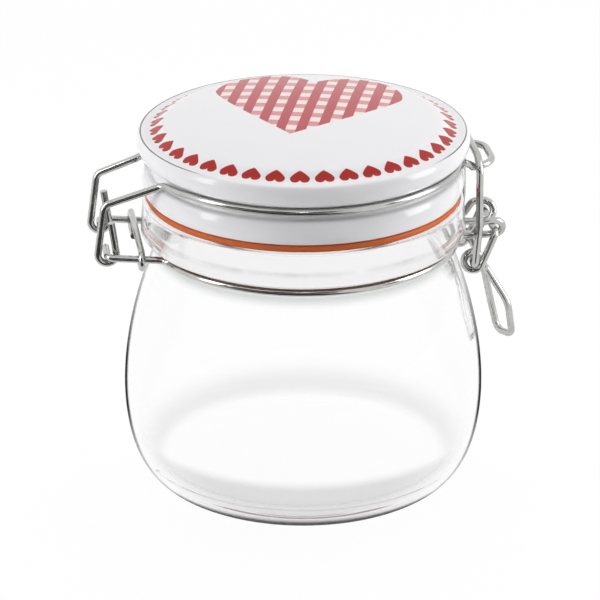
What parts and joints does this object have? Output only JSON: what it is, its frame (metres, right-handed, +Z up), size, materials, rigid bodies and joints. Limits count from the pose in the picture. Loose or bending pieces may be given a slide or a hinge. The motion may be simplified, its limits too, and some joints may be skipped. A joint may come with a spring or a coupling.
{
  "type": "clip-top storage jar",
  "caption": "Round clear glass storage jar with a domed glazed lid, rubber seal, wire hinge and an over-centre wire latch with a looped lever.",
  "frame": {"origin": "centre of the flat underside of the glass body", "axes": "+Z up along the jar's axis, +X towards the latch, -X towards the hinge, -Y towards the side seen in the picture"},
  "size_m": [0.13, 0.11, 0.1163],
  "materials": {
    "glass": "clear pressed glass",
    "glaze": "glossy white glaze with a red heart print",
    "seal": "orange rubber",
    "wire": "bright plated steel wire"
  },
  "bodies": {
    "jar": {"glass_jar": "glass", "neck_wire": "wire", "neck_wire_clip": "wire"},
    "lid": {"ceramic_lid": "glaze", "rubber_seal": "seal", "lid_wire": "wire"},
    "lever": {"latch_lever": "wire"},
    "link": {"latch_link": "wire"}
  },
  "joints": [
    {"name": "lid_hinge", "type": "hinge", "parent": "jar", "child": "lid", "pos_m": [-0.06065, 0, 0.0794], "axis": [0, -1, 0], "range_deg": [0, 165]},
    {"name": "lever_swing", "type": "hinge", "parent": "jar", "child": "lever", "pos_m": [0.05725, 0, 0.0791], "axis": [0, -1, 0], "range_deg": [0, 100]},
    {"name": "link_swing", "type": "hinge", "parent": "lever", "child": "link", "pos_m": [0.05047, 0, 0.06956], "axis": [0, -1, 0], "range_deg": [-260, 0]}
  ],
  "couplings": [
    {"joint": "link_swing", "follows": "lever_swing", "ratio": -2.6}
  ]
}
